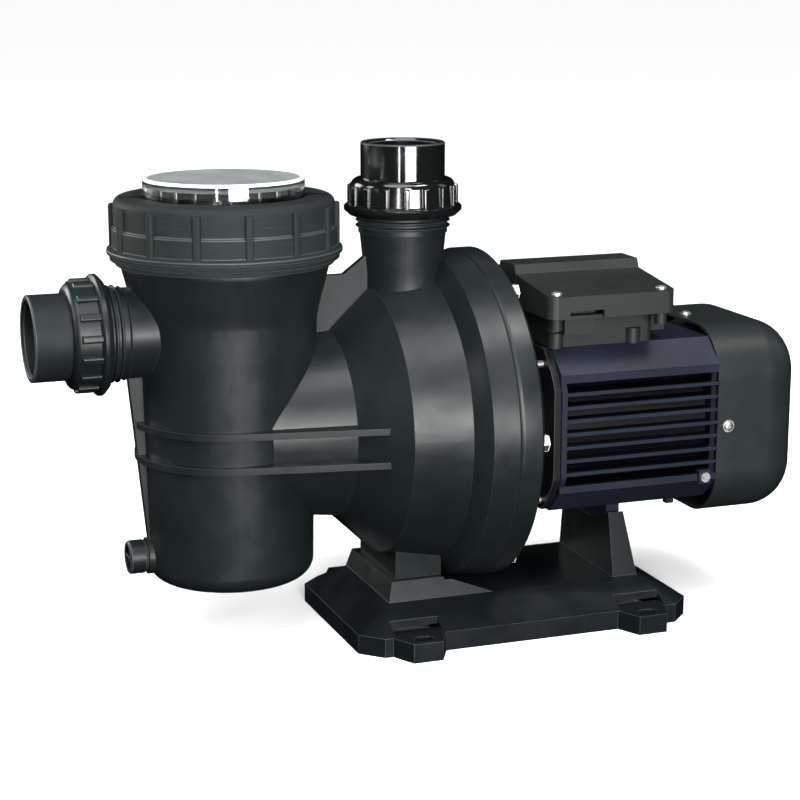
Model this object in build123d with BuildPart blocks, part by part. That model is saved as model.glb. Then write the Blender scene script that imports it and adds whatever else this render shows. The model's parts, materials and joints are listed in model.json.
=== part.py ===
from build123d import *
from math import asin, atan2, cos, hypot, pi, sin, sqrt
import os

os.makedirs("parts", exist_ok=True)

# Self-priming pool pump, in millimetres. +X runs from the suction union to the fan,
# +Z is up. The origin is the centre of the four base slots, on the floor.

# ---- driving dimensions ----

# base
base_x0 = -128.5
base_x1 = 129.5
base_half_width = 78.2
base_wall_z = 14.0
base_top_z = 30.0
platform_inset = 29.0         # how far the skirts slope in on every side
platform_x0 = base_x0 + platform_inset - 0.5
platform_x1 = base_x1 - platform_inset - 0.5
platform_half_width = base_half_width - platform_inset - 0.2
pad_z = 44.0
slot_spacing_x = 175.0
slot_offset = 7.8             # slot centre outside the base's long side
slot_spacing_y = 2 * (base_half_width + slot_offset)
slot_r = 4.5                  # M8 bolts
slot_length = 14.0
base_shell = 4.0
support_x = 83.0              # middle of the motor support
saddle_r = 79.0
foot_half_width = 34.0        # motor foot in the saddle

# casing
casing_r = 120.4              # rim of the bolted flange
casing_floor_gap = 4.6        # between the rim and the base's platform
casing_z = base_top_z + casing_floor_gap + casing_r
joint_x = -29.3               # where the rear cover meets the body
cover_depth = 17.8            # rear cover, front to back
flange_depth = 22.2           # flange of the body
flange_step = 16.1            # from the rim down to the barrel
barrel_r = casing_r - flange_step
barrel_front_x = -98.5        # where the barrel turns into the cone
barrel_front_r = barrel_r - 7.3
neck_x = -129.5               # where the cone turns into the neck
neck_r = 67.5
casing_wall = 5.0
cavity_r = barrel_r - casing_wall
bolt_r = 3.0                  # M6
bolt_clearance = 0.3
bolt_circle_r = casing_r - 9.4
bolt_count = 6
bolt_head_r = bolt_r + 3.5
casing_seal_r = cavity_r + 3.9

# shaft and impeller
shaft_drop = 9.0              # the shaft lies below the middle of the casing
shaft_z = casing_z - shaft_drop
shaft_r = 7.0
eye_r = 24.0                  # water way into the impeller
impeller_r = 61.0
impeller_vanes = 6
diffuser_r = cavity_r - shaft_drop - 6.3
diffuser_vanes = 8
seal_face_x = -35.6
running_gap = 0.05            # radial, between parts that turn on each other
moving_gap = 0.3              # between curved faces that move past each other

# strainer pot
pot_top_r = 62.5
pot_foot_r = pot_top_r - 3.5
pot_flare_r = pot_top_r + 9.5
pot_gap = 11.3                # from the pot to the start of the cone
pot_x = neck_x - pot_gap - pot_top_r
pot_bottom_z = 50.0
pot_rim_z = 308.0
pot_shoulder_z = pot_rim_z - 33.0
pot_flare_z = pot_shoulder_z - 13.0
pot_wall = 5.0
port_z = pot_rim_z - 78.3     # suction port
collar_r = pot_top_r + 4.1    # threaded collar under the lid ring
collar_bore_r = collar_r - 7.0
lid_seal_r = collar_r - 3.4
basket_ledge_z = pot_rim_z - 20.0
pot_rib_r = pot_top_r + 4.0   # two flat ribs round the pot
pot_rib_levels = (shaft_z - 5.0, shaft_z + 19.0)
pot_rib_thickness = 4.6
pot_rib_tip_x = -111.0

# lid and ring
ring_bottom_z = pot_shoulder_z + 0.6
ring_top_z = ring_bottom_z + 46.4
ring_r = collar_r + 10.4
ring_rib_r = ring_r + 2.6
ring_bead_r = ring_r + 4.8
ring_rib_count = 14
ring_rib_turn = 9.7           # degrees from +X to the first rib
lid_crown_r = collar_r - 10.8
ring_opening_r = lid_crown_r + 1.4
lid_top_z = pot_rim_z + 27.0
lid_wall = 3.6
lid_flange_height = 5.7
lid_pitch = 8.0

# basket
basket_r = pot_top_r - pot_wall - 4.0
basket_foot_r = pot_foot_r - pot_wall - 5.0
basket_floor_z = pot_bottom_z + 16.0
basket_top_z = basket_ledge_z + 3.2
basket_wall = 2.5
handle_pin_r = 1.6

# pipe unions, the same on both ports
union_socket_r = 25.1         # takes 50 mm pipe
union_socket_depth = 34.0
union_tail_r = union_socket_r + 4.9
port_bore_r = union_socket_r - 3.1
port_tube_r = union_tail_r + 1.5
union_thread_r = union_tail_r + 3.7
union_thread_root_r = union_thread_r - 1.9
union_thread_length = 25.5
union_length = 64.0           # port shoulder to the tail's mouth
union_nut_r = union_thread_r + 3.3
union_rib_r = union_nut_r + 2.5
union_collar_r = union_nut_r + 5.0
union_nut_start = union_thread_length - 13.0
union_nut_end = union_thread_length + 13.0
union_rib_count = 16
port_seal_r = port_bore_r + 5.2
suction_shoulder_x = pot_x - pot_top_r - 12.7
discharge_x = -72.0
discharge_shoulder_z = casing_z + casing_r + 15.1
discharge_neck_r = port_tube_r - 3.5

# drain
drain_z = pot_bottom_z + 19.0
drain_head_r = 12.0
drain_end_x = pot_x - pot_foot_r - 16.2
drain_stem_r = 6.8

# motor
frame_front_x = 22.0
frame_rear_x = 148.0
frame_half_width = 71.0
frame_top_z = shaft_z + 63.0
frame_bottom_z = shaft_z - 58.0
frame_bore_r = 54.0
frame_core_r = frame_bore_r + 6.0
fin_count = 9
fin_pitch = 9.8
fin_mid_z = shaft_z + 1.8
fin_thickness = 2.4
stator_bore_r = 30.4
air_gap = 0.4
core_front_x = 45.0
core_length = frame_rear_x - core_front_x - 23.0
bearing_seat_r = shaft_r + 0.5
bearing_outer_r = bearing_seat_r + 10.0
bearing_width = 11.0
bearing_ball_r = 2.95
bearing_ball_count = 8
front_bearing_x = frame_front_x - 8.0
rear_bearing_x = frame_rear_x + 1.0
tie_rod_y = frame_half_width - 23.0
tie_rod_z = 50.5
tie_rod_r = 2.8
earth_x = frame_rear_x - 10.5  # earth lug and its screw
earth_z = shaft_z - 38.0
fan_cover_r = frame_half_width + 0.5
fan_cover_drop = 1.5          # its centre lies a little below the shaft
fan_cover_end_x = frame_rear_x + 74.0
fan_cover_wall = 2.2
fan_cover_corner_r = 38.0
fan_cover_end_r = 31.0
fan_cover_screw_x = frame_rear_x + 9.0
fan_r = 57.0
fan_x = frame_rear_x + 28.0
fan_width = 18.0
fan_blade_count = 7

# terminal box
box_x0 = 20.0
box_x1 = 102.0
box_half_width = 54.0
box_lid_x0 = box_x0 - 10.5
box_lid_x1 = box_x1 + 6.5
box_lid_half_width = box_half_width + 23.5
box_rim_z = frame_top_z + 24.5
box_edge_z = box_rim_z + 15.8
box_ridge_z = box_rim_z + 30.1
box_ridge_half = 13.0
box_ridge_foot_z = box_ridge_z - 6.6
box_wall = 3.0
lid_screw_r = 1.8
box_slope = (box_ridge_foot_z - box_edge_z) / (box_lid_half_width - box_ridge_half - 3.0)
lid_screw_inset = 8.5         # from the lid's sides to its screws
screw_head_z = box_edge_z + box_slope * lid_screw_inset - 0.6


# ---- working helpers ----

casing = Plane(origin=(0, 0, casing_z), x_dir=(0, 1, 0), z_dir=(1, 0, 0))
motor = Plane(origin=(0, 0, shaft_z), x_dir=(0, 1, 0), z_dir=(1, 0, 0))
pot = Plane(origin=(pot_x, 0, 0), x_dir=(1, 0, 0), z_dir=(0, 0, 1))
suction = Plane(origin=(suction_shoulder_x, 0, port_z), x_dir=(0, 1, 0), z_dir=(-1, 0, 0))
discharge = Plane(origin=(discharge_x, 0, discharge_shoulder_z), x_dir=(1, 0, 0), z_dir=(0, 0, 1))
drain = Plane(origin=(drain_end_x, 0, drain_z), x_dir=(0, 1, 0), z_dir=(1, 0, 0))
fan_cover_axis = Plane(origin=(0, 0, shaft_z - fan_cover_drop), x_dir=(0, 1, 0), z_dir=(1, 0, 0))


def turned(place, outline, mode=Mode.ADD):
    """A solid of revolution about place's Z, from (radius, height) corners."""
    half_plane = Plane(origin=place.origin, x_dir=place.x_dir, z_dir=-place.y_dir)
    with BuildSketch(half_plane) as half:
        with BuildLine():
            Polyline(outline, close=True)
        make_face()
    revolve(half.sketch, axis=Axis(place.origin, place.z_dir), mode=mode)


def tube(place, outer, inner, start, end, mode=Mode.ADD):
    """A plain ring, or a disc where inner is 0."""
    turned(place, [(inner, start), (outer, start), (outer, end), (inner, end)], mode)


def around(place, ring_radius, count, size, start, end, mode=Mode.ADD, first=0.0):
    """Equal bars along place's Z, spaced round it: size is (radial, across)."""
    with BuildSketch(place.offset(start)) as bars:
        with PolarLocations(ring_radius, count, start_angle=first):
            Rectangle(*size)
    extrude(bars.sketch, amount=end - start, mode=mode)


def pins(place, ring_radius, count, radius, start, end, mode=Mode.ADD, first=0.0):
    """Equal round pins or holes along place's Z, spaced round it."""
    with BuildSketch(place.offset(start)) as rounds:
        with PolarLocations(ring_radius, count, start_angle=first):
            Circle(radius)
    extrude(rounds.sketch, amount=end - start, mode=mode)


def side_plate(corners, thickness, mode=Mode.ADD):
    """A plate in the middle plane of the pump, from its (x, z) corners."""
    with BuildSketch(Plane.XZ) as outline:
        with BuildLine():
            Polyline(corners, close=True)
        make_face()
    extrude(outline.sketch, amount=thickness / 2, both=True, mode=mode)


def block(low, high, mode=Mode.ADD):
    """A box between two corners."""
    middle = [(a + b) / 2 for a, b in zip(low, high)]
    with Locations(Vector(*middle)):
        Box(*[b - a for a, b in zip(low, high)], mode=mode)


def circles(part, place, height, radius, tolerance=0.05):
    """The round edges of a part at one height along place's Z, of one radius."""
    found = []
    for edge in part.edges().filter_by(GeomType.CIRCLE):
        spot = place.to_local_coords(edge.arc_center)
        if abs(spot.Z - height) < tolerance and abs(edge.radius - radius) < tolerance:
            if hypot(spot.X, spot.Y) < tolerance:
                found.append(edge)
    return found


def finish(builder, name):
    """Labels a finished piece and writes it."""
    builder.part.label = name
    export_step(builder.part, f"parts/{name}.step")


cover_rear_x = joint_x + cover_depth
flange_front_x = joint_x - flange_depth

# ---- pump body: one moulding, kept as four plain pieces that meet face to face ----

tip_x = pot_rib_tip_x
cone_slope = (barrel_front_r - neck_r) / (barrel_front_x - neck_x)
tip_y = neck_r + cone_slope * (tip_x - neck_x) - 1.1
tip_reach = hypot(tip_x - pot_x, tip_y)
tangent_angle = atan2(tip_y, tip_x - pot_x) + asin(sqrt(1 - (pot_rib_r / tip_reach) ** 2))
touch_x = pot_x + pot_rib_r * cos(tangent_angle)
touch_y = pot_rib_r * sin(tangent_angle)
chamber_x = pot_x + pot_top_r - 30.0
eye_end_x = -79.0
pot_break_z = shaft_z + 54.0

pot_outline = [
    (0, pot_bottom_z), (pot_foot_r, pot_bottom_z), (pot_top_r - 0.5, pot_break_z),
    (pot_top_r + 1.0, pot_shoulder_z - 38.0), (pot_top_r + 2.5, pot_shoulder_z - 30.0),
    (pot_flare_r, pot_shoulder_z - 3.0), (pot_flare_r, pot_shoulder_z), (collar_r, pot_shoulder_z),
    (collar_r, pot_rim_z), (0, pot_rim_z)]
casing_outline = [
    (0, pot_x + 15), (neck_r - 6.5, pot_x + 15), (neck_r, neck_x), (barrel_front_r, barrel_front_x),
    (barrel_r, flange_front_x - 6.5), (casing_r - 6.4, flange_front_x),
    (casing_r - 2.9, flange_front_x + 3.0), (casing_r - 0.9, joint_x - 0.8),
    (casing_r - 1.7, joint_x), (0, joint_x)]
discharge_outline = [
    (0, -28.0), (discharge_neck_r, -28.0), (port_tube_r - 0.6, 0), (union_thread_root_r, 0),
    (union_thread_root_r, union_thread_length), (0, union_thread_length)]

front_web = [
    (pot_x - pot_top_r + 7.5, port_z - 25), (pot_x - pot_top_r - 9, port_z - 31),
    (pot_x - pot_foot_r - 1.1, drain_z + 12), (pot_x - pot_foot_r + 9, drain_z + 6)]


def port_end(port):
    """Thread, seal groove and bore of a union port."""
    for turn in range(5):
        rise = 3.2 + turn * 4.0
        turned(port, [(union_thread_r - 2.4, rise), (union_thread_r, rise + 1.2),
                      (union_thread_r, rise + 1.8), (union_thread_r - 2.4, rise + 3.4)])
    tube(port, port_seal_r + 2.0, port_seal_r - 2.0, union_thread_length - 2.9, union_thread_length,
         Mode.SUBTRACT)
    tube(port, port_bore_r, 0, -50.0, union_thread_length, Mode.SUBTRACT)


with BuildPart() as strainer_pot:
    turned(pot, pot_outline)
    fillet(circles(strainer_pot.part, pot, pot_bottom_z, pot_foot_r), 13.0)
    turned(suction, [(0, -45.0), (port_tube_r, -45.0), (port_tube_r, -1.5), (port_tube_r + 1.2, 0),
                     (union_thread_root_r, 0),
                     (union_thread_root_r, union_thread_length), (0, union_thread_length)])
    side_plate(front_web, 8.0)
    tube(drain, 13.0, 0, 13.5, 40.0)
    turned(pot, [
        (0, pot_bottom_z + pot_wall), (pot_foot_r - pot_wall - 0.2, pot_bottom_z + pot_wall),
        (pot_top_r - pot_wall - 0.5, pot_break_z), (pot_top_r - pot_wall, basket_ledge_z),
        (collar_bore_r, basket_ledge_z), (collar_bore_r, pot_rim_z), (0, pot_rim_z)], Mode.SUBTRACT)
    tube(pot, lid_seal_r + 2.0, lid_seal_r - 2.0, pot_rim_z - 2.9, pot_rim_z, Mode.SUBTRACT)
    for turn in range(3):
        rise = pot_shoulder_z + 7.0 + turn * lid_pitch
        turned(pot, [(collar_r - 0.5, rise), (collar_r + 2.6, rise + 1.6),
                     (collar_r + 2.6, rise + 3.2), (collar_r - 0.5, rise + 5.0)])
    port_end(suction)
    tube(motor, eye_r, 0, chamber_x, neck_x, Mode.SUBTRACT)
    tube(drain, drain_stem_r + 0.3, 0, 13.5, 60.0, Mode.SUBTRACT)
finish(strainer_pot, "strainer_pot")

with BuildPart() as pump_casing:
    turned(casing, casing_outline)
    block((discharge_x - 19.6, -39, pad_z), (discharge_x + 15.3, 39, casing_z - barrel_r + 16))
    # chamber open towards the rear cover, with a tube from the pot to the impeller's eye
    turned(casing, [
        (0, chamber_x), (neck_r - 9.5, chamber_x), (neck_r - casing_wall, neck_x + 2),
        (barrel_front_r - casing_wall, barrel_front_x + 2), (cavity_r, flange_front_x - 6.5),
        (cavity_r, joint_x), (0, joint_x)], Mode.SUBTRACT)
    tube(motor, eye_r + 4.0, 0, chamber_x, eye_end_x)
    tube(motor, eye_r, 0, chamber_x, eye_end_x, Mode.SUBTRACT)
    turned(pot, pot_outline, Mode.SUBTRACT)
    tube(discharge, port_bore_r, 0, -50.0, 0, Mode.SUBTRACT)
    pins(casing, bolt_circle_r, bolt_count, bolt_r + 0.1, joint_x - 17.0, joint_x, Mode.SUBTRACT)
    with BuildSketch(Plane.XY.offset(pad_z)) as foot_holes:
        with Locations((discharge_x - 2, 25), (discharge_x - 2, -25)):
            Circle(2.6)
    extrude(foot_holes.sketch, amount=12.5, mode=Mode.SUBTRACT)
finish(pump_casing, "pump_casing")

with BuildPart() as discharge_port:
    tube(discharge, discharge_neck_r, 0, -45.0, -28.0)
    turned(discharge, discharge_outline)
    turned(casing, casing_outline, Mode.SUBTRACT)
    port_end(discharge)
finish(discharge_port, "discharge_port")

with BuildPart() as body_ribs:
    gusset_x = discharge_x - discharge_neck_r - 1.0
    gusset_z = discharge_shoulder_z - 16.0
    side_plate([(pot_x + 50, pot_flare_z), (gusset_x - 16.5, pot_flare_z), (gusset_x, gusset_z),
                (discharge_x - 18, gusset_z), (discharge_x - 18, shaft_z + 84),
                (pot_x + 50, shaft_z + 44)], 6.0)
    for level in pot_rib_levels:
        with BuildSketch(Plane.XY.offset(level - pot_rib_thickness / 2)) as flat_rib:
            with Locations((pot_x, 0)):
                Circle(pot_rib_r)
            with BuildLine():
                Polyline((touch_x, touch_y), (tip_x, tip_y), (tip_x, -tip_y), (touch_x, -touch_y),
                         close=True)
            make_face()
        extrude(flat_rib.sketch, amount=pot_rib_thickness)
    turned(pot, pot_outline, Mode.SUBTRACT)
    turned(casing, casing_outline, Mode.SUBTRACT)
    tube(discharge, discharge_neck_r, 0, -45.0, -28.0, Mode.SUBTRACT)
    turned(discharge, discharge_outline, Mode.SUBTRACT)
    side_plate(front_web, 8.0, Mode.SUBTRACT)
finish(body_ribs, "body_ribs")

# ---- rear cover, its seal and its bolts ----

with BuildPart() as rear_cover:
    turned(casing, [
        (0, joint_x), (casing_r - 1.7, joint_x), (casing_r - 0.9, joint_x + 0.8),
        (casing_r, joint_x + 3.0), (casing_r, cover_rear_x - 2.5), (casing_r - 2.5, cover_rear_x),
        (0, cover_rear_x)])
    tube(casing, cavity_r - moving_gap, cavity_r - 3.5, joint_x - 4.0, joint_x)
    tube(casing, cavity_r - 0.3, 0, joint_x + 7.5, cover_rear_x, Mode.SUBTRACT)
    around(casing, cavity_r - 23.0, 12, (50.0, 4.0), joint_x + 7.0, cover_rear_x - 2.0, first=15.0)
    tube(motor, 52.0, 0, joint_x + 7.0, cover_rear_x)
    tube(motor, 24.0, 0, seal_face_x + 0.6, joint_x + 1)
    tube(motor, 18.1, 0, seal_face_x + 0.6, seal_face_x + 8.6, Mode.SUBTRACT)
    tube(motor, shaft_r + 2.0, 0, seal_face_x, cover_rear_x, Mode.SUBTRACT)
    tube(casing, casing_seal_r + 2.1, casing_seal_r - 2.1, joint_x, joint_x + 2.9, Mode.SUBTRACT)
    pins(casing, bolt_circle_r, bolt_count, bolt_r + bolt_clearance, joint_x, cover_rear_x, Mode.SUBTRACT)
    with BuildSketch(Plane.YZ.offset(cover_rear_x)) as rod_bosses:
        for side_y in (tie_rod_y, -tie_rod_y):
            for side_z in (tie_rod_z, -tie_rod_z):
                with Locations((side_y, shaft_z + side_z)):
                    Circle(8.0)
    extrude(rod_bosses.sketch, amount=-(cover_depth - 7.2))
    with BuildSketch(Plane.YZ.offset(cover_rear_x)) as rod_holes:
        for side_y in (tie_rod_y, -tie_rod_y):
            for side_z in (tie_rod_z, -tie_rod_z):
                with Locations((side_y, shaft_z + side_z)):
                    Circle(tie_rod_r + 0.1)
    extrude(rod_holes.sketch, amount=-9.0, mode=Mode.SUBTRACT)
finish(rear_cover, "rear_cover")

with BuildPart() as casing_oring:
    with BuildSketch(Plane(origin=(0, 0, casing_z), x_dir=(0, 0, 1), z_dir=(0, 1, 0))) as section:
        with Locations((casing_seal_r, joint_x + 1.45)):
            Circle(1.4)
    revolve(section.sketch, axis=Axis((0, 0, casing_z), (1, 0, 0)))
finish(casing_oring, "casing_oring")

with BuildPart() as cover_bolts:
    with BuildSketch(casing.offset(cover_rear_x)) as heads:
        with PolarLocations(bolt_circle_r, bolt_count):
            RegularPolygon(bolt_head_r, 6)
    extrude(heads.sketch, amount=5.0)
    chamfer(cover_bolts.edges().filter_by(GeomType.LINE).group_by(Axis.X)[-1], 0.5)
    pins(casing, bolt_circle_r, bolt_count, bolt_r, joint_x - 15.0, cover_rear_x)
finish(cover_bolts, "cover_bolts")

# ---- water end: diffuser, impeller and shaft seal ----

shroud_front_x = -66.0
shroud_rear_x = -46.0
vane_front_x = shroud_front_x + 3.0
vane_rear_x = shroud_rear_x - 4.0

with BuildPart() as diffuser:
    tube(motor, diffuser_r, 24.9, -70.0, -67.0)
    tube(motor, 32.0, 24.9, -78.6, -70.0)
    tube(motor, 32.0, eye_r + 4.0 + moving_gap, -84.0, -78.0)
    with BuildSketch(motor.offset(-67.0)) as guide_vanes:
        with PolarLocations(impeller_r + 14.0, diffuser_vanes):
            Rectangle(24.0, 3.0, rotation=35.0)
    extrude(guide_vanes.sketch, amount=67.0 + joint_x)
finish(diffuser, "diffuser")

with BuildPart() as impeller:
    tube(motor, impeller_r, 22.0, shroud_front_x, vane_front_x)
    tube(motor, 24.5, 22.0, -75.0, shroud_front_x)
    tube(motor, impeller_r, shaft_r, vane_rear_x, shroud_rear_x)
    tube(motor, 13.0, shaft_r, -60.0, vane_rear_x)
    with BuildSketch(motor.offset(vane_front_x)) as vanes:
        with PolarLocations(0, impeller_vanes):
            with BuildLine():
                lead = ThreePointArc((22.5, 0), (0.72 * impeller_r, 14.0), (impeller_r - 3.0, 18.0))
                offset(lead, amount=1.2, side=Side.BOTH)
            make_face()
    extrude(vanes.sketch, amount=vane_rear_x - vane_front_x)
finish(impeller, "impeller")

with BuildPart() as seal_seat:
    tube(motor, 18.0, shaft_r + 1.5, seal_face_x + 0.6, seal_face_x + 8.5)
    tube(motor, 14.0, shaft_r + 1.5, seal_face_x, seal_face_x + 1.0)
finish(seal_seat, "seal_seat")

with BuildPart() as seal_head:
    tube(motor, 15.5, shaft_r, seal_face_x - 5.0, seal_face_x - 0.1)
    tube(motor, 10.0, shaft_r, shroud_rear_x, seal_face_x - 5.0)
finish(seal_head, "seal_head")

with BuildPart() as seal_spring:
    with BuildLine() as coil:
        Helix(pitch=2.4, height=3.6, radius=12.5, center=(shroud_rear_x + 0.9, 0, shaft_z),
              direction=(1, 0, 0))
    with BuildSketch(Plane(origin=coil.line @ 0, z_dir=coil.line % 0)):
        Circle(0.75)
    sweep()
finish(seal_spring, "seal_spring")

# ---- rotor ----

fan_hub_x = fan_x - 4.0

with BuildPart() as shaft:
    tube(motor, shaft_r, 0, -60.5, front_bearing_x)
    tube(motor, bearing_seat_r, 0, front_bearing_x, front_bearing_x + bearing_width + 4.0)
    tube(motor, 10.0, 0, front_bearing_x + bearing_width + 4.0, rear_bearing_x - 4.0)
    tube(motor, bearing_seat_r, 0, rear_bearing_x - 4.0, rear_bearing_x + bearing_width)
    tube(motor, 6.0, 0, rear_bearing_x + bearing_width, fan_x + fan_width + 6.0)
finish(shaft, "shaft")

with BuildPart() as rotor_core:
    tube(motor, stator_bore_r - air_gap, 10.0, core_front_x, core_front_x + core_length)
    for end_x in (core_front_x - 6.0, core_front_x + core_length):
        tube(motor, stator_bore_r - 3.0, 17.0, end_x, end_x + 6.0)
    around(motor, 22.0, 8, (8.0, 2.5), core_front_x + core_length + 6.0, core_front_x + core_length + 10.0)
finish(rotor_core, "rotor_core")


def make_bearing(name, start):
    """A deep-groove ball bearing as three pieces: outer race, balls in their cage, inner race."""
    middle = start + bearing_width / 2
    pitch_r = (bearing_seat_r + bearing_outer_r) / 2
    groove = Plane(origin=(middle, 0, shaft_z), x_dir=(0, 0, 1), z_dir=(0, 1, 0))
    with BuildPart() as outer:
        tube(motor, bearing_outer_r, pitch_r + 1.9, start, start + bearing_width)
        with BuildSketch(groove) as track:
            with Locations((pitch_r, 0)):
                Circle(bearing_ball_r + 0.12)
        revolve(track.sketch, axis=Axis((0, 0, shaft_z), (1, 0, 0)), mode=Mode.SUBTRACT)
    finish(outer, f"{name}_outer")
    with BuildPart() as inner:
        tube(motor, pitch_r - 1.9, bearing_seat_r, start, start + bearing_width)
        with BuildSketch(groove) as track:
            with Locations((pitch_r, 0)):
                Circle(bearing_ball_r + 0.12)
        revolve(track.sketch, axis=Axis((0, 0, shaft_z), (1, 0, 0)), mode=Mode.SUBTRACT)
    finish(inner, f"{name}_inner")
    with BuildPart() as balls:
        tube(motor, pitch_r + 1.0, pitch_r - 1.0, middle - 3.6, middle + 3.6)
        for step in range(bearing_ball_count):
            turn = 2 * pi * step / bearing_ball_count
            with Locations((middle, pitch_r * cos(turn), shaft_z + pitch_r * sin(turn))):
                Sphere(bearing_ball_r)
    finish(balls, f"{name}_balls")


make_bearing("front_bearing", front_bearing_x)
make_bearing("rear_bearing", rear_bearing_x)

with BuildPart() as fan:
    tube(motor, 14.0, 6.0, fan_hub_x, fan_x + fan_width)
    tube(motor, fan_r, 13.0, fan_x, fan_x + 2.0)
    around(motor, (fan_r + 13.0) / 2, fan_blade_count, (fan_r - 13.0, 2.0), fan_x + 1.5, fan_x + fan_width)
finish(fan, "fan")

# ---- motor housing ----

rod_places = [(y, shaft_z + z) for y in (tie_rod_y, -tie_rod_y) for z in (tie_rod_z, -tie_rod_z)]
rear_shield_x1 = rear_bearing_x + bearing_width


def rod_holes_through(start, end, radius):
    """Clearance for the four tie rods."""
    with BuildSketch(Plane.YZ.offset(start)) as holes:
        with Locations(*rod_places):
            Circle(radius)
    extrude(holes.sketch, amount=end - start, mode=Mode.SUBTRACT)


def cover_screw_place(turn):
    """Axis of one of the four fan-cover screws, pointing out from the cover's middle."""
    return Plane(origin=(fan_cover_screw_x, 0, shaft_z - fan_cover_drop), x_dir=(1, 0, 0),
                 z_dir=(0, cos(pi * turn / 2), sin(pi * turn / 2)))


def frame_outline(radius, half_width):
    """The motor's end outline: a circle cut flat at the sides, the top and the bottom."""
    with BuildSketch(Plane.YZ.offset(frame_front_x)) as outline:
        with Locations((0, (frame_top_z + frame_bottom_z) / 2)):
            Circle(radius)
            Rectangle(2 * half_width, frame_top_z - frame_bottom_z, mode=Mode.INTERSECT)
    return outline.sketch


with BuildPart() as motor_frame:
    tube(motor, frame_core_r, 0, frame_front_x, frame_rear_x)
    with BuildSketch(Plane.YZ.offset(frame_front_x)) as fins:
        for fin in range(fin_count):
            with Locations((0, fin_mid_z + (fin - (fin_count - 1) / 2) * fin_pitch)):
                Rectangle(2 * frame_half_width, fin_thickness)
        for sign, level in ((1, frame_top_z), (-1, frame_bottom_z)):
            shoulder = level - sign * 17.0
            with BuildLine():
                Polyline((-frame_half_width, shoulder - sign * 4.0), (-frame_half_width, shoulder),
                         (-53.0, level), (53.0, level), (frame_half_width, shoulder),
                         (frame_half_width, shoulder - sign * 4.0),
                         (frame_half_width - 4.0, shoulder - sign * 4.0),
                         (frame_half_width - 4.0, shoulder - sign * 1.8), (51.5, level - sign * 4.0),
                         (-51.5, level - sign * 4.0), (4.0 - frame_half_width, shoulder - sign * 1.8),
                         (4.0 - frame_half_width, shoulder - sign * 4.0), close=True)
            make_face()
    extrude(fins.sketch, amount=frame_rear_x - frame_front_x)
    with BuildSketch(Plane.YZ.offset(frame_front_x)) as webs:
        for side in (-36.0, 36.0):
            with Locations((side, (frame_top_z + shaft_z) / 2 + 12.0),
                           (side, (frame_bottom_z + shaft_z) / 2 - 12.0)):
                Rectangle(3.0, 36.0)
    extrude(webs.sketch, amount=frame_rear_x - frame_front_x)
    extrude(frame_outline(80.0, frame_half_width + 2.5), amount=4.0)
    with BuildSketch(Plane.YZ.offset(frame_rear_x - 4.0)) as rear_rim:
        with Locations((0, (frame_top_z + frame_bottom_z) / 2)):
            Circle(80.0)
            Rectangle(2 * frame_half_width - 6.0, frame_top_z - frame_bottom_z, mode=Mode.INTERSECT)
    extrude(rear_rim.sketch, amount=4.0)
    # cast foot that sits in the saddle of the base
    foot_z = shaft_z - sqrt(saddle_r ** 2 - foot_half_width ** 2)
    with BuildSketch(Plane.YZ.offset(support_x - 5.5)) as foot:
        with BuildLine():
            ThreePointArc((-foot_half_width, foot_z), (0, shaft_z - saddle_r), (foot_half_width, foot_z))
            Polyline((foot_half_width, foot_z), (foot_half_width, frame_bottom_z + 3.0),
                     (-foot_half_width, frame_bottom_z + 3.0), (-foot_half_width, foot_z))
        make_face()
    extrude(foot.sketch, amount=10.5)
    # earth lug on the front side
    block((earth_x - 4.5, -frame_half_width - 3.0, earth_z - 5.0),
          (earth_x + 4.5, -frame_half_width + 8.0, earth_z + 5.0))
    with BuildSketch(Plane.XZ.offset(frame_half_width + 3.0)) as lug_hole:
        with Locations((earth_x, earth_z)):
            Circle(2.1)
    extrude(lug_hole.sketch, amount=-9.0, mode=Mode.SUBTRACT)
    block((frame_rear_x - 30.0, -52.0, frame_bottom_z - 4.0),
          (frame_rear_x - 24.0, -46.0, frame_bottom_z + 2.0))
    tube(motor, frame_bore_r, 0, frame_front_x, frame_rear_x, Mode.SUBTRACT)
    rod_holes_through(frame_front_x, frame_rear_x, tie_rod_r + 1.5)
    # wire way up into the terminal box
    block((55.0, -12.0, frame_top_z - 12.0), (70.0, 12.0, frame_top_z), Mode.SUBTRACT)
finish(motor_frame, "motor_frame")

with BuildPart() as front_end_shield:
    tube(motor, 50.0, 0, cover_rear_x, frame_front_x)
    tube(motor, 43.0, 0, cover_rear_x + 4.0, front_bearing_x - 3.0, Mode.SUBTRACT)
    with BuildSketch(Plane.YZ.offset(frame_front_x - 5.0)) as plate:
        with Locations((0, (frame_top_z + frame_bottom_z) / 2)):
            Circle(78.0)
            Rectangle(2 * frame_half_width, frame_top_z - frame_bottom_z - 1.0, mode=Mode.INTERSECT)
    extrude(plate.sketch, amount=5.0)
    tube(motor, frame_bore_r - 0.1, 44.0, frame_front_x, frame_front_x + 4.0)
    tube(motor, 24.0, 0, frame_front_x - 5.0, front_bearing_x + bearing_width + 2.0)
    tube(motor, bearing_outer_r, 0, front_bearing_x, front_bearing_x + bearing_width + 2.0, Mode.SUBTRACT)
    tube(motor, shaft_r + 4.0, 0, cover_rear_x, front_bearing_x, Mode.SUBTRACT)
    around(motor, 46.0, 4, (16.0, 30.0), cover_rear_x + 6.0, front_bearing_x - 4.0, Mode.SUBTRACT,
           first=45.0)
    rod_holes_through(cover_rear_x, frame_front_x + 5.0, tie_rod_r + 0.3)
finish(front_end_shield, "front_end_shield")

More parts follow.
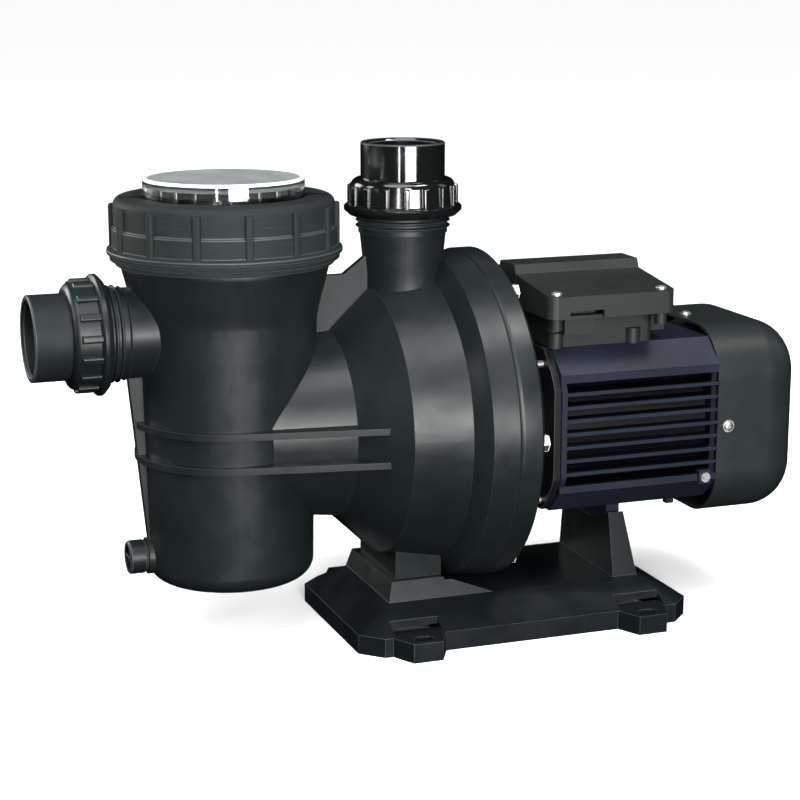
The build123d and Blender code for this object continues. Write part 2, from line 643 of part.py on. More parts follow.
with BuildPart() as rear_end_shield:
    with BuildSketch(Plane.YZ.offset(frame_rear_x)) as plate:
        with Locations((0, (frame_top_z + frame_bottom_z) / 2)):
            Circle(76.0)
            Rectangle(2 * 64.0, frame_top_z - frame_bottom_z - 4.0, mode=Mode.INTERSECT)
    extrude(plate.sketch, amount=4.0)
    tube(motor, frame_bore_r - 0.1, 44.0, frame_rear_x - 4.0, frame_rear_x)
    tube(motor, 24.0, 0, frame_rear_x - 1.0, rear_shield_x1)
    tube(fan_cover_axis, fan_cover_r - 5.5, fan_cover_r - 13.5, frame_rear_x + 3.0, rear_shield_x1)
    around(fan_cover_axis, fan_cover_r - 6.5, 4, (8.0, 12.0), frame_rear_x + 3.0, rear_shield_x1)
    tube(motor, bearing_outer_r, 0, frame_rear_x - 1.0, rear_shield_x1, Mode.SUBTRACT)
    rod_holes_through(frame_rear_x, frame_rear_x + 4.0, tie_rod_r + 0.3)
    rod_holes_through(frame_rear_x + 4.0, rear_shield_x1, 8.0)
    for turn in range(4):
        with BuildSketch(cover_screw_place(turn).offset(fan_cover_r - 16.5)) as hole:
            Circle(2.0)
        extrude(hole.sketch, amount=20.0, mode=Mode.SUBTRACT)
finish(rear_end_shield, "rear_end_shield")

with BuildPart() as stator_core:
    tube(motor, frame_bore_r, stator_bore_r, core_front_x, core_front_x + core_length)
    around(motor, 40.0, 24, (12.0, 4.0), core_front_x, core_front_x + core_length, Mode.SUBTRACT)
finish(stator_core, "stator_core")

with BuildPart() as stator_windings:
    around(motor, 40.0, 24, (11.8, 3.8), core_front_x - 2.0, core_front_x + core_length + 2.0)
    for end_x in (core_front_x - 14.0, core_front_x + core_length + 1.0):
        tube(motor, 47.0, 33.5, end_x, end_x + 13.0)
finish(stator_windings, "stator_windings")

with BuildPart() as tie_rods:
    rod_start = cover_rear_x - 8.5
    rod_end = frame_rear_x + 8.0
    with BuildSketch(Plane.YZ.offset(rod_start)) as rods:
        with Locations(*rod_places):
            Circle(tie_rod_r)
    extrude(rods.sketch, amount=rod_end - rod_start)
    with BuildSketch(Plane.YZ.offset(frame_rear_x + 4.0)) as rod_heads:
        with Locations(*rod_places):
            RegularPolygon(5.2, 6)
    extrude(rod_heads.sketch, amount=4.4)
finish(tie_rods, "tie_rods")

with BuildPart() as fan_cover_inside:
    with BuildSketch(fan_cover_axis.offset(frame_rear_x)) as inside:
        RectangleRounded(2 * (fan_cover_r - fan_cover_wall), 2 * (fan_cover_r - fan_cover_wall),
                         fan_cover_corner_r - fan_cover_wall)
    extrude(inside.sketch, amount=fan_cover_end_x - fan_cover_wall - frame_rear_x)
    fillet(fan_cover_inside.faces().sort_by(Axis.X)[-1].edges(), fan_cover_end_r - fan_cover_wall)

with BuildPart() as fan_cover:
    with BuildSketch(fan_cover_axis.offset(frame_rear_x + 0.3)) as outside:
        RectangleRounded(2 * fan_cover_r, 2 * fan_cover_r, fan_cover_corner_r)
    extrude(outside.sketch, amount=fan_cover_end_x - frame_rear_x - 0.3)
    fillet(fan_cover.faces().sort_by(Axis.X)[-1].edges(), fan_cover_end_r)
    add(fan_cover_inside.part, mode=Mode.SUBTRACT)
    for row, count in ((14.0, 6), (24.0, 12), (34.0, 18)):
        around(fan_cover_axis, row, count, (6.0, 4.6), fan_cover_end_x - 5.0, fan_cover_end_x + 1.0,
               Mode.SUBTRACT)
    for turn in range(4):
        with BuildSketch(cover_screw_place(turn).offset(fan_cover_r - 11.5)) as hole:
            Circle(2.5)
        extrude(hole.sketch, amount=15.0, mode=Mode.SUBTRACT)
finish(fan_cover, "fan_cover")

with BuildPart() as fan_cover_screws:
    for turn in range(4):
        seat = cover_screw_place(turn)
        tube(seat, 1.95, 0, fan_cover_r - 10.5, fan_cover_r + 0.5)
        tube(seat, 4.6, 0, fan_cover_r, fan_cover_r + 0.8)
        turned(seat, [(0, fan_cover_r + 0.8), (3.6, fan_cover_r + 0.8), (3.1, fan_cover_r + 2.0),
                      (1.6, fan_cover_r + 2.5), (0, fan_cover_r + 2.5)])
finish(fan_cover_screws, "fan_cover_screws")

# ---- terminal box on top of the motor ----

lid_pillars = [(x, side * (box_lid_half_width - lid_screw_inset))
               for x in (box_lid_x0 + lid_screw_inset, box_lid_x1 - lid_screw_inset) for side in (-1, 1)]
lid_notch_x0 = box_x0 + 5.0   # notch in the lid's front edge, with the box's tongue under it
lid_notch_x1 = lid_notch_x0 + 26.5
box_boss_places = [(box_x0 + 4.5, -box_half_width), (box_x0 + 65.5, -box_half_width)]
gland_x = (box_x0 + box_x1) / 2
gland_z = frame_top_z + 13.5

with BuildPart() as terminal_box_base:
    block((box_x0, -box_half_width, frame_top_z), (box_x1, box_half_width, box_rim_z + 1.5))
    fillet(terminal_box_base.edges().filter_by(Axis.Z), 5.0)
    # shelf under the lid, with a boss for each lid screw
    block((box_lid_x0 + box_wall + 0.5, box_wall + 0.5 - box_lid_half_width, box_rim_z - 1.0),
          (box_lid_x1 - box_wall - 0.5, box_lid_half_width - box_wall - 0.5, box_rim_z + 1.5))
    block((gland_x - 12.0, box_half_width + 0.5, box_rim_z - 1.5),
          (gland_x + 12.0, box_lid_half_width, box_rim_z + 0.3), Mode.SUBTRACT)
    with BuildSketch(Plane.XY.offset(box_rim_z - 9.0)) as bosses:
        with Locations(*lid_pillars):
            Circle(4.5)
    extrude(bosses.sketch, amount=10.5)
    with BuildSketch(Plane.XY.offset(frame_top_z)) as feet:
        with Locations(*box_boss_places):
            Circle(5.5)
    extrude(feet.sketch, amount=11.0)
    block((box_x0 + box_wall, box_wall - box_half_width, frame_top_z + box_wall),
          (box_x1 - box_wall, box_half_width - box_wall, box_rim_z + 1.5), Mode.SUBTRACT)
    # tongue under the notch in the lid's front edge
    block((lid_notch_x0 + 1.5, -box_half_width - 11.0, frame_top_z + 10.5),
          (lid_notch_x1 - 1.5, 1.0 - box_half_width, box_rim_z + 4.5))
    block((box_x1 - 1.0, -46.0, frame_top_z + 6.0), (box_x1 + 13.0, -34.0, frame_top_z + 22.0))
    chamfer(terminal_box_base.edges().filter_by(Axis.Y).group_by(Axis.X)[-1].sort_by(Axis.Z)[-1], 7.0)
    with BuildSketch(Plane.XY.offset(box_rim_z + 1.5)) as lid_screw_holes:
        with Locations(*lid_pillars):
            Circle(lid_screw_r + 0.02)
    extrude(lid_screw_holes.sketch, amount=-10.5, mode=Mode.SUBTRACT)
    with BuildSketch(Plane.XY.offset(frame_top_z)) as lead_hole:
        with Locations((62.5, 0)):
            Rectangle(13.0, 22.0)
    extrude(lead_hole.sketch, amount=box_wall, mode=Mode.SUBTRACT)
    with BuildSketch(Plane.XZ.offset(-box_half_width)) as gland_hole:
        with Locations((gland_x, gland_z)):
            Circle(8.1)
    extrude(gland_hole.sketch, amount=box_wall + 1.0, mode=Mode.SUBTRACT)
finish(terminal_box_base, "terminal_box_base")


def lid_section(inset):
    """Half-outline of the terminal-box lid across the motor, as (y, z) corners."""
    drop = 1.15 * inset
    edge = box_lid_half_width - inset
    half = [(edge, box_rim_z), (edge, box_edge_z - drop), (box_ridge_half + 3.0, box_ridge_foot_z - drop),
            (box_ridge_half, box_ridge_z - inset)]
    return half + [(-y, z) for y, z in reversed(half)]


with BuildPart() as terminal_box_lid:
    with BuildSketch(Plane.YZ.offset(box_lid_x0)) as across:
        with BuildLine():
            Polyline(lid_section(0), close=True)
        make_face()
    extrude(across.sketch, amount=box_lid_x1 - box_lid_x0)
    fillet(terminal_box_lid.edges().filter_by(Axis.Z), 7.0)
    with BuildSketch(Plane.YZ.offset(box_lid_x0 + box_wall)) as hollow:
        with BuildLine():
            Polyline(lid_section(box_wall), close=True)
        make_face()
    extrude(hollow.sketch, amount=box_lid_x1 - box_lid_x0 - 2 * box_wall, mode=Mode.SUBTRACT)
    with BuildSketch(Plane.XY.offset(box_rim_z + 1.7)) as screw_posts:
        with Locations(*lid_pillars):
            Circle(5.0)
    extrude(screw_posts.sketch, amount=box_edge_z - box_rim_z - 3.0)
    block((lid_notch_x0, -box_lid_half_width - 1.0, box_rim_z - 1.0),
          (lid_notch_x1, -box_lid_half_width + box_wall + 1.0, box_rim_z + 5.5), Mode.SUBTRACT)
    # shallow frame on the ridge where a plain label panel sits
    block((box_lid_x0 + 14.0, -9.0, box_ridge_z - 0.6), (box_lid_x1 - 18.0, 9.0, box_ridge_z), Mode.SUBTRACT)
    block((box_lid_x0 + 15.2, -7.8, box_ridge_z - 0.8), (box_lid_x1 - 19.2, 7.8, box_ridge_z - 0.1))
    with BuildSketch(Plane.XY.offset(box_rim_z)) as lid_holes:
        with Locations(*lid_pillars):
            Circle(lid_screw_r + 0.4)
    extrude(lid_holes.sketch, amount=30.0, mode=Mode.SUBTRACT)
    with BuildSketch(Plane.XY.offset(screw_head_z - 0.6)) as head_seats:
        with Locations(*lid_pillars):
            Circle(4.8)
    extrude(head_seats.sketch, amount=5.0, mode=Mode.SUBTRACT)
finish(terminal_box_lid, "terminal_box_lid")

with BuildPart() as terminal_lid_gasket:
    block((box_x0 + 0.3, 0.3 - box_half_width, box_rim_z + 1.5),
          (box_x1 - 0.3, box_half_width - 0.3, box_rim_z + 4.0))
    block((box_x0 + box_wall, box_wall - box_half_width, box_rim_z + 1.5),
          (box_x1 - box_wall, box_half_width - box_wall, box_rim_z + 4.0), Mode.SUBTRACT)
    block((lid_notch_x0, -box_half_width - 1.0, box_rim_z + 1.0),
          (lid_notch_x1, 1.5 - box_half_width, box_rim_z + 5.0), Mode.SUBTRACT)
finish(terminal_lid_gasket, "terminal_lid_gasket")

with BuildPart() as terminal_lid_screws:
    with BuildSketch(Plane.XY.offset(box_rim_z - 8.0)) as screw_shanks:
        with Locations(*lid_pillars):
            Circle(lid_screw_r)
    extrude(screw_shanks.sketch, amount=screw_head_z - box_rim_z + 8.0)
    with BuildSketch(Plane.XY.offset(screw_head_z - 0.6)) as screw_heads:
        with Locations(*lid_pillars):
            Circle(4.2)
    extrude(screw_heads.sketch, amount=2.6)
    fillet(terminal_lid_screws.edges().group_by(Axis.Z)[-1], 1.2)
    for x, y in lid_pillars:
        block((x - 0.5, y - 3.0, screw_head_z + 1.2), (x + 0.5, y + 3.0, screw_head_z + 2.1), Mode.SUBTRACT)
        block((x - 3.0, y - 0.5, screw_head_z + 1.2), (x + 3.0, y + 0.5, screw_head_z + 2.1), Mode.SUBTRACT)
finish(terminal_lid_screws, "terminal_lid_screws")

with BuildPart() as terminal_block:
    block((34.0, 22.0, frame_top_z + box_wall), (90.0, 40.0, frame_top_z + box_wall + 12.0))
    for seat in range(4):
        block((37.0 + seat * 13.5, 21.0, frame_top_z + box_wall + 5.0),
              (46.0 + seat * 13.5, 30.0, frame_top_z + box_wall + 13.0), Mode.SUBTRACT)
finish(terminal_block, "terminal_block")

with BuildPart() as terminal_screws:
    for seat in range(4):
        with BuildSketch(Plane.XY.offset(frame_top_z + box_wall + 5.0)) as screw_head:
            with Locations((41.5 + seat * 13.5, 25.8)):
                Circle(3.2)
        extrude(screw_head.sketch, amount=3.0)
finish(terminal_screws, "terminal_screws")

capacitor_place = Plane(origin=(28.0, -26.0, frame_top_z + box_wall + 16.0), x_dir=(0, 1, 0),
                        z_dir=(1, 0, 0))

with BuildPart() as capacitor:
    turned(capacitor_place, [(0, 0), (15.0, 0), (16.0, 1.0), (16.0, 58.0), (15.0, 59.0), (0, 59.0)])
    for side in (-4.0, 4.0):
        with BuildSketch(capacitor_place.offset(59.0)) as tab:
            with Locations((side, 0)):
                Rectangle(0.9, 6.3)
        extrude(tab.sketch, amount=8.0)
finish(capacitor, "capacitor")

gland = Plane(origin=(gland_x, box_half_width, gland_z), x_dir=(1, 0, 0), z_dir=(0, 1, 0))

with BuildPart() as cable_gland:
    with BuildSketch(gland) as hexagon:
        RegularPolygon(10.5, 6)
    extrude(hexagon.sketch, amount=5.0)
    tube(gland, 8.0, 0, -6.0, 0)
    tube(gland, 8.5, 0, 5.0, 12.0)
    tube(gland, 6.5, 0, -6.0, 12.0, Mode.SUBTRACT)
finish(cable_gland, "cable_gland")

with BuildPart() as gland_nut:
    turned(gland, [(8.6, 5.2), (10.6, 5.2), (10.6, 12.0), (8.2, 17.0), (5.5, 17.0), (5.5, 14.5),
                   (8.6, 12.6)])
    around(gland, 10.2, 12, (1.4, 2.0), 5.4, 11.6)
finish(gland_nut, "gland_nut")

with BuildPart() as gland_seal:
    tube(gland, 6.4, 4.5, 4.0, 13.6)
finish(gland_seal, "gland_seal")

with BuildPart() as gland_locknut:
    with BuildSketch(gland.offset(-box_wall - 3.0)) as hexagon:
        RegularPolygon(11.0, 6)
        Circle(8.05, mode=Mode.SUBTRACT)
    extrude(hexagon.sketch, amount=3.0)
finish(gland_locknut, "gland_locknut")

earth = Plane(origin=(earth_x, -frame_half_width - 3.0, earth_z), x_dir=(1, 0, 0), z_dir=(0, -1, 0))

with BuildPart() as earth_screw:
    tube(earth, 2.0, 0, -8.0, 0)
    tube(earth, 3.6, 0, 0, 1.8)
    with BuildSketch(earth.offset(0.9)) as cross:
        Rectangle(4.6, 0.8)
        Rectangle(0.8, 4.6)
    extrude(cross.sketch, amount=0.9, mode=Mode.SUBTRACT)
finish(earth_screw, "earth_screw")

# ---- base ----


def sloped_block(low, low_z, high, high_z, mode=Mode.ADD, corner=0.0):
    """A block whose sides lean in: low and high are (x0, x1, half width)."""
    with BuildSketch(Plane.XY.offset(low_z)) as bottom:
        with Locations(((low[0] + low[1]) / 2, 0)):
            Rectangle(low[1] - low[0], 2 * low[2])
        if corner:
            chamfer(bottom.vertices(), corner)
    with BuildSketch(Plane.XY.offset(high_z)) as top:
        with Locations(((high[0] + high[1]) / 2, 0)):
            Rectangle(high[1] - high[0], 2 * high[2])
        if corner:
            chamfer(top.vertices(), 0.5)
    loft([bottom.sketch.faces()[0], top.sketch.faces()[0]], ruled=True, mode=mode)


footprint = (base_x0, base_x1, base_half_width)
platform = (platform_x0, platform_x1, platform_half_width)
slot_places = [(x, y) for x in (-slot_spacing_x / 2, slot_spacing_x / 2)
               for y in (-slot_spacing_y / 2, slot_spacing_y / 2)]

with BuildPart() as base_plate:
    with BuildSketch() as plan:
        with Locations(((base_x0 + base_x1) / 2, 0)):
            Rectangle(base_x1 - base_x0, 2 * base_half_width)
        chamfer(plan.vertices(), 15.0)
    extrude(plan.sketch, amount=base_wall_z)
    sloped_block(footprint, base_wall_z, platform, base_top_z, corner=15.0)
    sloped_block((platform_x0, discharge_x + 52.0, platform_half_width), base_top_z,
                 (platform_x0 + 3.5, discharge_x + 15.0, platform_half_width - 4.4), pad_z)
    sloped_block((support_x - 5.5, support_x + 14.0, platform_half_width - 1.0), base_top_z,
                 (support_x - 6.5, support_x + 5.5, 40.0), shaft_z - 68.0)
    tube(motor, saddle_r, 0, support_x - 13.0, support_x + 15.0, Mode.SUBTRACT)
    # clearance under the round flange
    tube(casing, casing_r + 1.5, 0, flange_front_x - 5.0, cover_rear_x + 3.0, Mode.SUBTRACT)
    # hollow underside
    inner = base_shell
    block((base_x0 + 15.0, inner - base_half_width, 0),
          (base_x1 - 15.0, base_half_width - inner, base_wall_z - 4.0),
          Mode.SUBTRACT)
    sloped_block((base_x0 + 15.0, base_x1 - 15.0, base_half_width - inner), base_wall_z - 4.0,
                 (platform_x0 + 3.0, platform_x1 - 3.0, platform_half_width - 1.0), base_top_z - base_shell,
                 Mode.SUBTRACT)
    for x in (-60.0, 0.0, 60.0):
        block((x - 1.5, -platform_half_width, 2.0), (x + 1.5, platform_half_width, base_top_z - 2.0))
    block((base_x0 + 16.0, -1.5, 2.0), (base_x1 - 16.0, 1.5, base_top_z - 10.0))
    # ears with a flat seat round each slot
    for side in (-1, 1):
        for x in (-slot_spacing_x / 2, slot_spacing_x / 2):
            y0 = side * (base_half_width - 14.0)
            y1 = side * base_half_width
            y2 = side * (base_half_width + slot_offset + 10.0)
            with BuildSketch() as ear:
                with BuildLine():
                    Polyline((x - 20.0, y0), (x - 20.0, y1), (x - 11.0, y2), (x + 11.0, y2), (x + 20.0, y1),
                             (x + 20.0, y0), close=True)
                make_face()
            extrude(ear.sketch, amount=base_wall_z)
            block((x - 18.0, min(y0, y1), base_wall_z), (x + 18.0, max(y0, y1), base_wall_z + 9.0),
                  Mode.SUBTRACT)
    with BuildSketch() as slots:
        with Locations(*slot_places):
            SlotOverall(slot_length, 2 * slot_r)
    extrude(slots.sketch, amount=base_wall_z + 1.0, mode=Mode.SUBTRACT)
    with BuildSketch() as screw_ways:
        with Locations((discharge_x - 2, 25), (discharge_x - 2, -25)):
            Circle(3.2)
    extrude(screw_ways.sketch, amount=pad_z, mode=Mode.SUBTRACT)
    with BuildSketch() as head_ways:
        with Locations((discharge_x - 2, 25), (discharge_x - 2, -25)):
            Circle(6.0)
    extrude(head_ways.sketch, amount=base_top_z - base_shell, mode=Mode.SUBTRACT)
finish(base_plate, "base_plate")

with BuildPart() as foot_screws:
    with BuildSketch(Plane.XY.offset(base_top_z - base_shell - 3.5)) as heads:
        with Locations((discharge_x - 2, 25), (discharge_x - 2, -25)):
            Circle(5.5)
    extrude(heads.sketch, amount=3.5)
    with BuildSketch(Plane.XY.offset(base_top_z - base_shell)) as shanks:
        with Locations((discharge_x - 2, 25), (discharge_x - 2, -25)):
            Circle(2.5)
    extrude(shanks.sketch, amount=pad_z + 11.0 - base_top_z + base_shell)
finish(foot_screws, "foot_screws")

# ---- strainer: lid ring, clear lid, seal and basket ----

lid_flange_z = pot_rim_z + 0.3
ring_under_z = lid_flange_z + lid_flange_height + 0.3

with BuildPart() as lid_ring:
    turned(pot, [
        (collar_r + 3.0, ring_bottom_z), (ring_r - 0.5, ring_bottom_z),
        (ring_bead_r - 2.0, ring_bottom_z + 6.0),
        (ring_bead_r, ring_bottom_z + 9.0), (ring_bead_r, ring_bottom_z + 11.0),
        (ring_r + 0.8, ring_bottom_z + 13.5), (ring_r + 0.8, ring_bottom_z + 26.0),
        (ring_r - 0.4, ring_bottom_z + 27.5), (ring_r - 0.4, ring_top_z - 3.0), (ring_r - 3.4, ring_top_z),
        (ring_opening_r, ring_top_z), (ring_opening_r, ring_under_z), (collar_r + 3.0, ring_under_z)])
    around(pot, (ring_r + ring_rib_r) / 2 - 1.0, ring_rib_count, (ring_rib_r - ring_r + 2.0, 6.0),
           ring_bottom_z + 11.0, ring_top_z - 5.0, first=ring_rib_turn)
    for turn in range(3):
        rise = ring_bottom_z + 4.0 + turn * lid_pitch
        turned(pot, [(collar_r + 2.9, rise), (collar_r + 4.4, rise + 1.4), (collar_r + 4.4, rise + 3.0),
                     (collar_r + 2.9, rise + 4.4)], Mode.SUBTRACT)
finish(lid_ring, "lid_ring")

with BuildPart() as strainer_lid:
    turned(pot, [
        (0, lid_top_z - lid_wall), (lid_crown_r - lid_wall, lid_top_z - lid_wall),
        (lid_crown_r - lid_wall, lid_flange_z), (collar_r - 0.2, lid_flange_z),
        (collar_r - 0.2, lid_flange_z + lid_flange_height), (lid_crown_r, lid_flange_z + lid_flange_height),
        (lid_crown_r, lid_top_z - 1.2), (lid_crown_r - 1.2, lid_top_z), (0, lid_top_z)])
    around(pot, lid_crown_r - lid_wall - 1.0, 16, (3.0, 1.6), lid_flange_z + 1.0, lid_top_z - lid_wall + 0.5)
finish(strainer_lid, "strainer_lid")

with BuildPart() as lid_oring:
    with BuildSketch(Plane(origin=(pot_x, 0, 0), x_dir=(1, 0, 0), z_dir=(0, -1, 0))) as section:
        with Locations((lid_seal_r, pot_rim_z - 1.35)):
            Circle(1.45)
    revolve(section.sketch, axis=Axis((pot_x, 0, 0), (0, 0, 1)))
finish(lid_oring, "lid_oring")

handle_z = basket_top_z - 5.0
handle_axis = Plane(origin=(pot_x, 0, handle_z), x_dir=(0, 1, 0), z_dir=(1, 0, 0))

with BuildPart() as strainer_basket:
    turned(pot, [
        (0, basket_floor_z), (basket_foot_r, basket_floor_z), (basket_r, basket_ledge_z),
        (collar_bore_r - 0.4, basket_ledge_z), (collar_bore_r - 0.4, basket_top_z),
        (basket_r - basket_wall, basket_top_z), (basket_foot_r - basket_wall, basket_floor_z + basket_wall),
        (0, basket_floor_z + basket_wall)])
    # the inlet window faces the suction port
    block((pot_x - 60.0, -24.0, port_z - 24.0), (pot_x - 30.0, 24.0, port_z + 24.0), Mode.SUBTRACT)
    for row in range(3):
        low = basket_floor_z + 8.0 + row * 38.0
        around(pot, basket_r - 3.5, 20, (12.0, 6.0), low, low + 32.0, Mode.SUBTRACT)
    for ring_row, count in ((14.0, 6), (26.0, 10), (38.0, 14)):
        around(pot, ring_row, count, (8.0, 4.5), basket_floor_z - 1.0, basket_floor_z + 4.0, Mode.SUBTRACT)
    tube(handle_axis, handle_pin_r + running_gap, 0, -basket_r - 1.0, basket_r + 1.0, Mode.SUBTRACT)
finish(strainer_basket, "strainer_basket")

with BuildPart() as basket_handle:
    handle_r = basket_r - 4.5
    with BuildSketch(Plane.XY.offset(handle_z - 2.0)) as bow:
        with BuildLine():
            CenterArc((pot_x, 0), handle_r, 0, 180)
            Line((pot_x - handle_r, 0), (pot_x - handle_r + 4.0, 0))
            CenterArc((pot_x, 0), handle_r - 4.0, 0, 180)
            Line((pot_x + handle_r - 4.0, 0), (pot_x + handle_r, 0))
        make_face()
    extrude(bow.sketch, amount=4.0)
    for side in (-1, 1):
        tube(handle_axis, 3.2, 0, side * (handle_r - 4.0), side * handle_r)
        tube(handle_axis, handle_pin_r, 0, side * handle_r, side * (basket_r - 0.6))
finish(basket_handle, "basket_handle")

# ---- pipe unions ----


def make_union(name, place):
    """Tail, nut and seal of one union."""
    with BuildPart() as tail:
        turned(place, [
            (port_bore_r, union_thread_length + 0.2), (union_thread_r - 0.3, union_thread_length + 0.2),
            (union_thread_r - 0.3, union_thread_length + 4.6), (union_tail_r, union_thread_length + 5.6),
            (union_tail_r, union_length - 0.8), (union_tail_r - 0.8, union_length),
            (union_socket_r + 1.6, union_length), (union_socket_r, union_length - 2.0),
            (union_socket_r, union_length - union_socket_depth),
            (port_bore_r, union_length - union_socket_depth)])
    finish(tail, f"{name}_tail")
    with BuildPart() as nut:
        turned(place, [
            (union_thread_r + 0.3, union_nut_start), (union_nut_r + 2.0, union_nut_start),
            (union_collar_r, union_nut_start + 3.0), (union_collar_r, union_nut_start + 5.5),
            (union_nut_r + 0.6, union_nut_start + 8.5), (union_nut_r, union_nut_end - 4.0),
            (union_nut_r - 3.0, union_nut_end), (union_tail_r + moving_gap, union_nut_end),
            (union_tail_r + moving_gap, union_thread_length + 6.2),
            (union_thread_r + 0.3, union_thread_length + 5.2)])
        around(place, (union_nut_r + union_rib_r) / 2 - 1.0, union_rib_count,
               (union_rib_r - union_nut_r + 2.0, 3.7), union_nut_start + 5.0, union_nut_end - 3.0)
    finish(nut, f"{name}_nut")
    with BuildPart() as oring:
        section_plane = Plane(origin=place.origin, x_dir=place.x_dir, z_dir=-place.y_dir)
        with BuildSketch(section_plane) as section:
            with Locations((port_seal_r, union_thread_length - 1.4)):
                Circle(1.35)
        revolve(section.sketch, axis=Axis(place.origin, place.z_dir))
    finish(oring, f"{name}_oring")


make_union("suction", suction)
make_union("discharge", discharge)

# ---- drain plug ----

with BuildPart() as drain_plug:
    tube(drain, drain_head_r, 0, 0, 11.3)
    chamfer(circles(drain_plug.part, drain, 0, drain_head_r), 1.2)
    tube(drain, 8.6, 0, 0, 6.0, Mode.SUBTRACT)
    with BuildSketch(drain) as wing:
        Rectangle(15.0, 3.4)
    extrude(wing.sketch, amount=6.5)
    tube(drain, drain_stem_r, 0, 11.0, 20.0)
finish(drain_plug, "drain_plug")

with BuildPart() as drain_oring:
    tube(drain, 10.4, drain_stem_r + 0.3, 11.5, 13.3)
finish(drain_oring, "drain_oring")
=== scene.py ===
import json
import bmesh
import bpy
from math import cos, pi, radians, sin
from mathutils import Matrix, Vector


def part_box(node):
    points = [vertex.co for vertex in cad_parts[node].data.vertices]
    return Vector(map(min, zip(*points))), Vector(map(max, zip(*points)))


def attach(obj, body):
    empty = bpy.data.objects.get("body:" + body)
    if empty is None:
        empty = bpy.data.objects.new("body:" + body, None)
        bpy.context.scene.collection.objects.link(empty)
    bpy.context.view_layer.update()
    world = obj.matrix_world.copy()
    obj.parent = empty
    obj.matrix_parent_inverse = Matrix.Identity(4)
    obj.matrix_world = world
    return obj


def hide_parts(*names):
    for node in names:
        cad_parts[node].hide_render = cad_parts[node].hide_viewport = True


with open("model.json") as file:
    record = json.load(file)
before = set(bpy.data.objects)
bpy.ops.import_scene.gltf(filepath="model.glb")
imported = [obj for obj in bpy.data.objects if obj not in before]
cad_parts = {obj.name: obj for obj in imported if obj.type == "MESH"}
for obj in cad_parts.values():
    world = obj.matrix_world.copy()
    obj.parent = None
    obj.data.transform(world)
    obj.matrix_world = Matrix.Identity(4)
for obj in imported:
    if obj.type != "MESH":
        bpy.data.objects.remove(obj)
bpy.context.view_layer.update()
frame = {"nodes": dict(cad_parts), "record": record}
print("frame loaded")

bodyOfNode = {node: body for body, nodes in frame["record"]["behaviour"]["bodies"].items() for node in nodes}
slotOfNode = {part["node"]: part["material_slot"] for part in frame["record"]["subparts"]}
upward = Vector((0, 0, 1))
rightward = Vector((1, 0, 0))
backward = Vector((0, 1, 0))


def inScene(thing):
    bpy.context.scene.collection.objects.link(thing)
    return thing


def meshFrom(bm, name):
    mesh = bpy.data.meshes.new(name)
    bm.to_mesh(mesh)
    bm.free()
    return mesh


# camera, lights and floor

studio = {
    "azimuth": -20.12, "elevation": 12.7, "distance": 1.482, "lens": 91.65,
    "aim": (-0.074, 0.0, 0.1668),
    "floorHalf": 60.0, "floorShade": 0.97, "floorRoughness": 0.9,
    "backdropLight": 1.0,
    "sunTurn": -35.0, "sunRise": 64.0, "sunDistance": 3.0, "sunPower": 3.70, "sunSpread": 50.0,
}
softboxes = {  # azimuth, elevation, distance from the pump, width and height in metres, watts
    "frontStrip": (-29.0, 16.0, 1.6, 0.07, 1.0, 16.0),
    "frontBox": (-8.0, 14.0, 2.0, 0.45, 0.9, 46.0),
    "lowBox": (2.0, 2.0, 2.0, 1.0, 0.3, 45.0),
    "leftBox": (-100.0, 20.0, 2.0, 0.5, 0.9, 16.0),
    "rightBox": (84.0, 26.0, 2.0, 0.5, 0.9, 2.5),
    "topBox": (40.0, 60.0, 2.0, 0.8, 0.4, 30.0),
    "backBox": (165.0, 50.0, 2.2, 1.4, 0.6, 1.5),
    "rearLeftBox": (222.0, 14.0, 2.0, 0.9, 0.9, 26.0),
}


def aimedFrom(thing, azimuth, elevation, distance):
    turn, rise = radians(azimuth), radians(elevation)
    away = Vector((sin(turn) * cos(rise), -cos(turn) * cos(rise), sin(rise))) * distance
    thing.location = Vector(studio["aim"]) + away
    thing.rotation_euler = (-away).to_track_quat("-Z", "Y").to_euler()


def makeCamera():
    camera = inScene(bpy.data.objects.new("camera", bpy.data.cameras.new("camera")))
    camera.data.lens = studio["lens"]
    aimedFrom(camera, studio["azimuth"], studio["elevation"], studio["distance"])
    bpy.context.scene.camera = camera


def makeLight(name, kind, azimuth, elevation, distance, power):
    light = inScene(bpy.data.objects.new(name, bpy.data.lights.new(name, kind)))
    light.data.energy = power
    aimedFrom(light, azimuth, elevation, distance)
    return light


def makeFloor():
    bm = bmesh.new()
    bmesh.ops.create_grid(bm, x_segments=1, y_segments=1, size=studio["floorHalf"])
    floor = inScene(bpy.data.objects.new("floor", meshFrom(bm, "floor")))
    paper = bpy.data.materials.new("studioPaper")
    paper.use_nodes = True
    surface = paper.node_tree.nodes["Principled BSDF"]
    surface.inputs["Base Color"].default_value = (studio["floorShade"],) * 3 + (1.0,)
    surface.inputs["Roughness"].default_value = studio["floorRoughness"]
    floor.data.materials.append(paper)
    floor.visible_glossy = False  # the floor stays out of the dark plastic's reflections
    floor.visible_diffuse = False


def makeBackdrop():
    world = bpy.data.worlds.new("studioWorld")
    world.use_nodes = True
    background = world.node_tree.nodes["Background"]
    background.inputs["Color"].default_value = (1.0, 1.0, 1.0, 1.0)
    background.inputs["Strength"].default_value = studio["backdropLight"]
    world.cycles_visibility.diffuse = False  # the backdrop is seen, but only the softboxes light the pump
    world.cycles_visibility.glossy = False
    bpy.context.scene.world = world
    bpy.context.scene.view_settings.view_transform = "Standard"


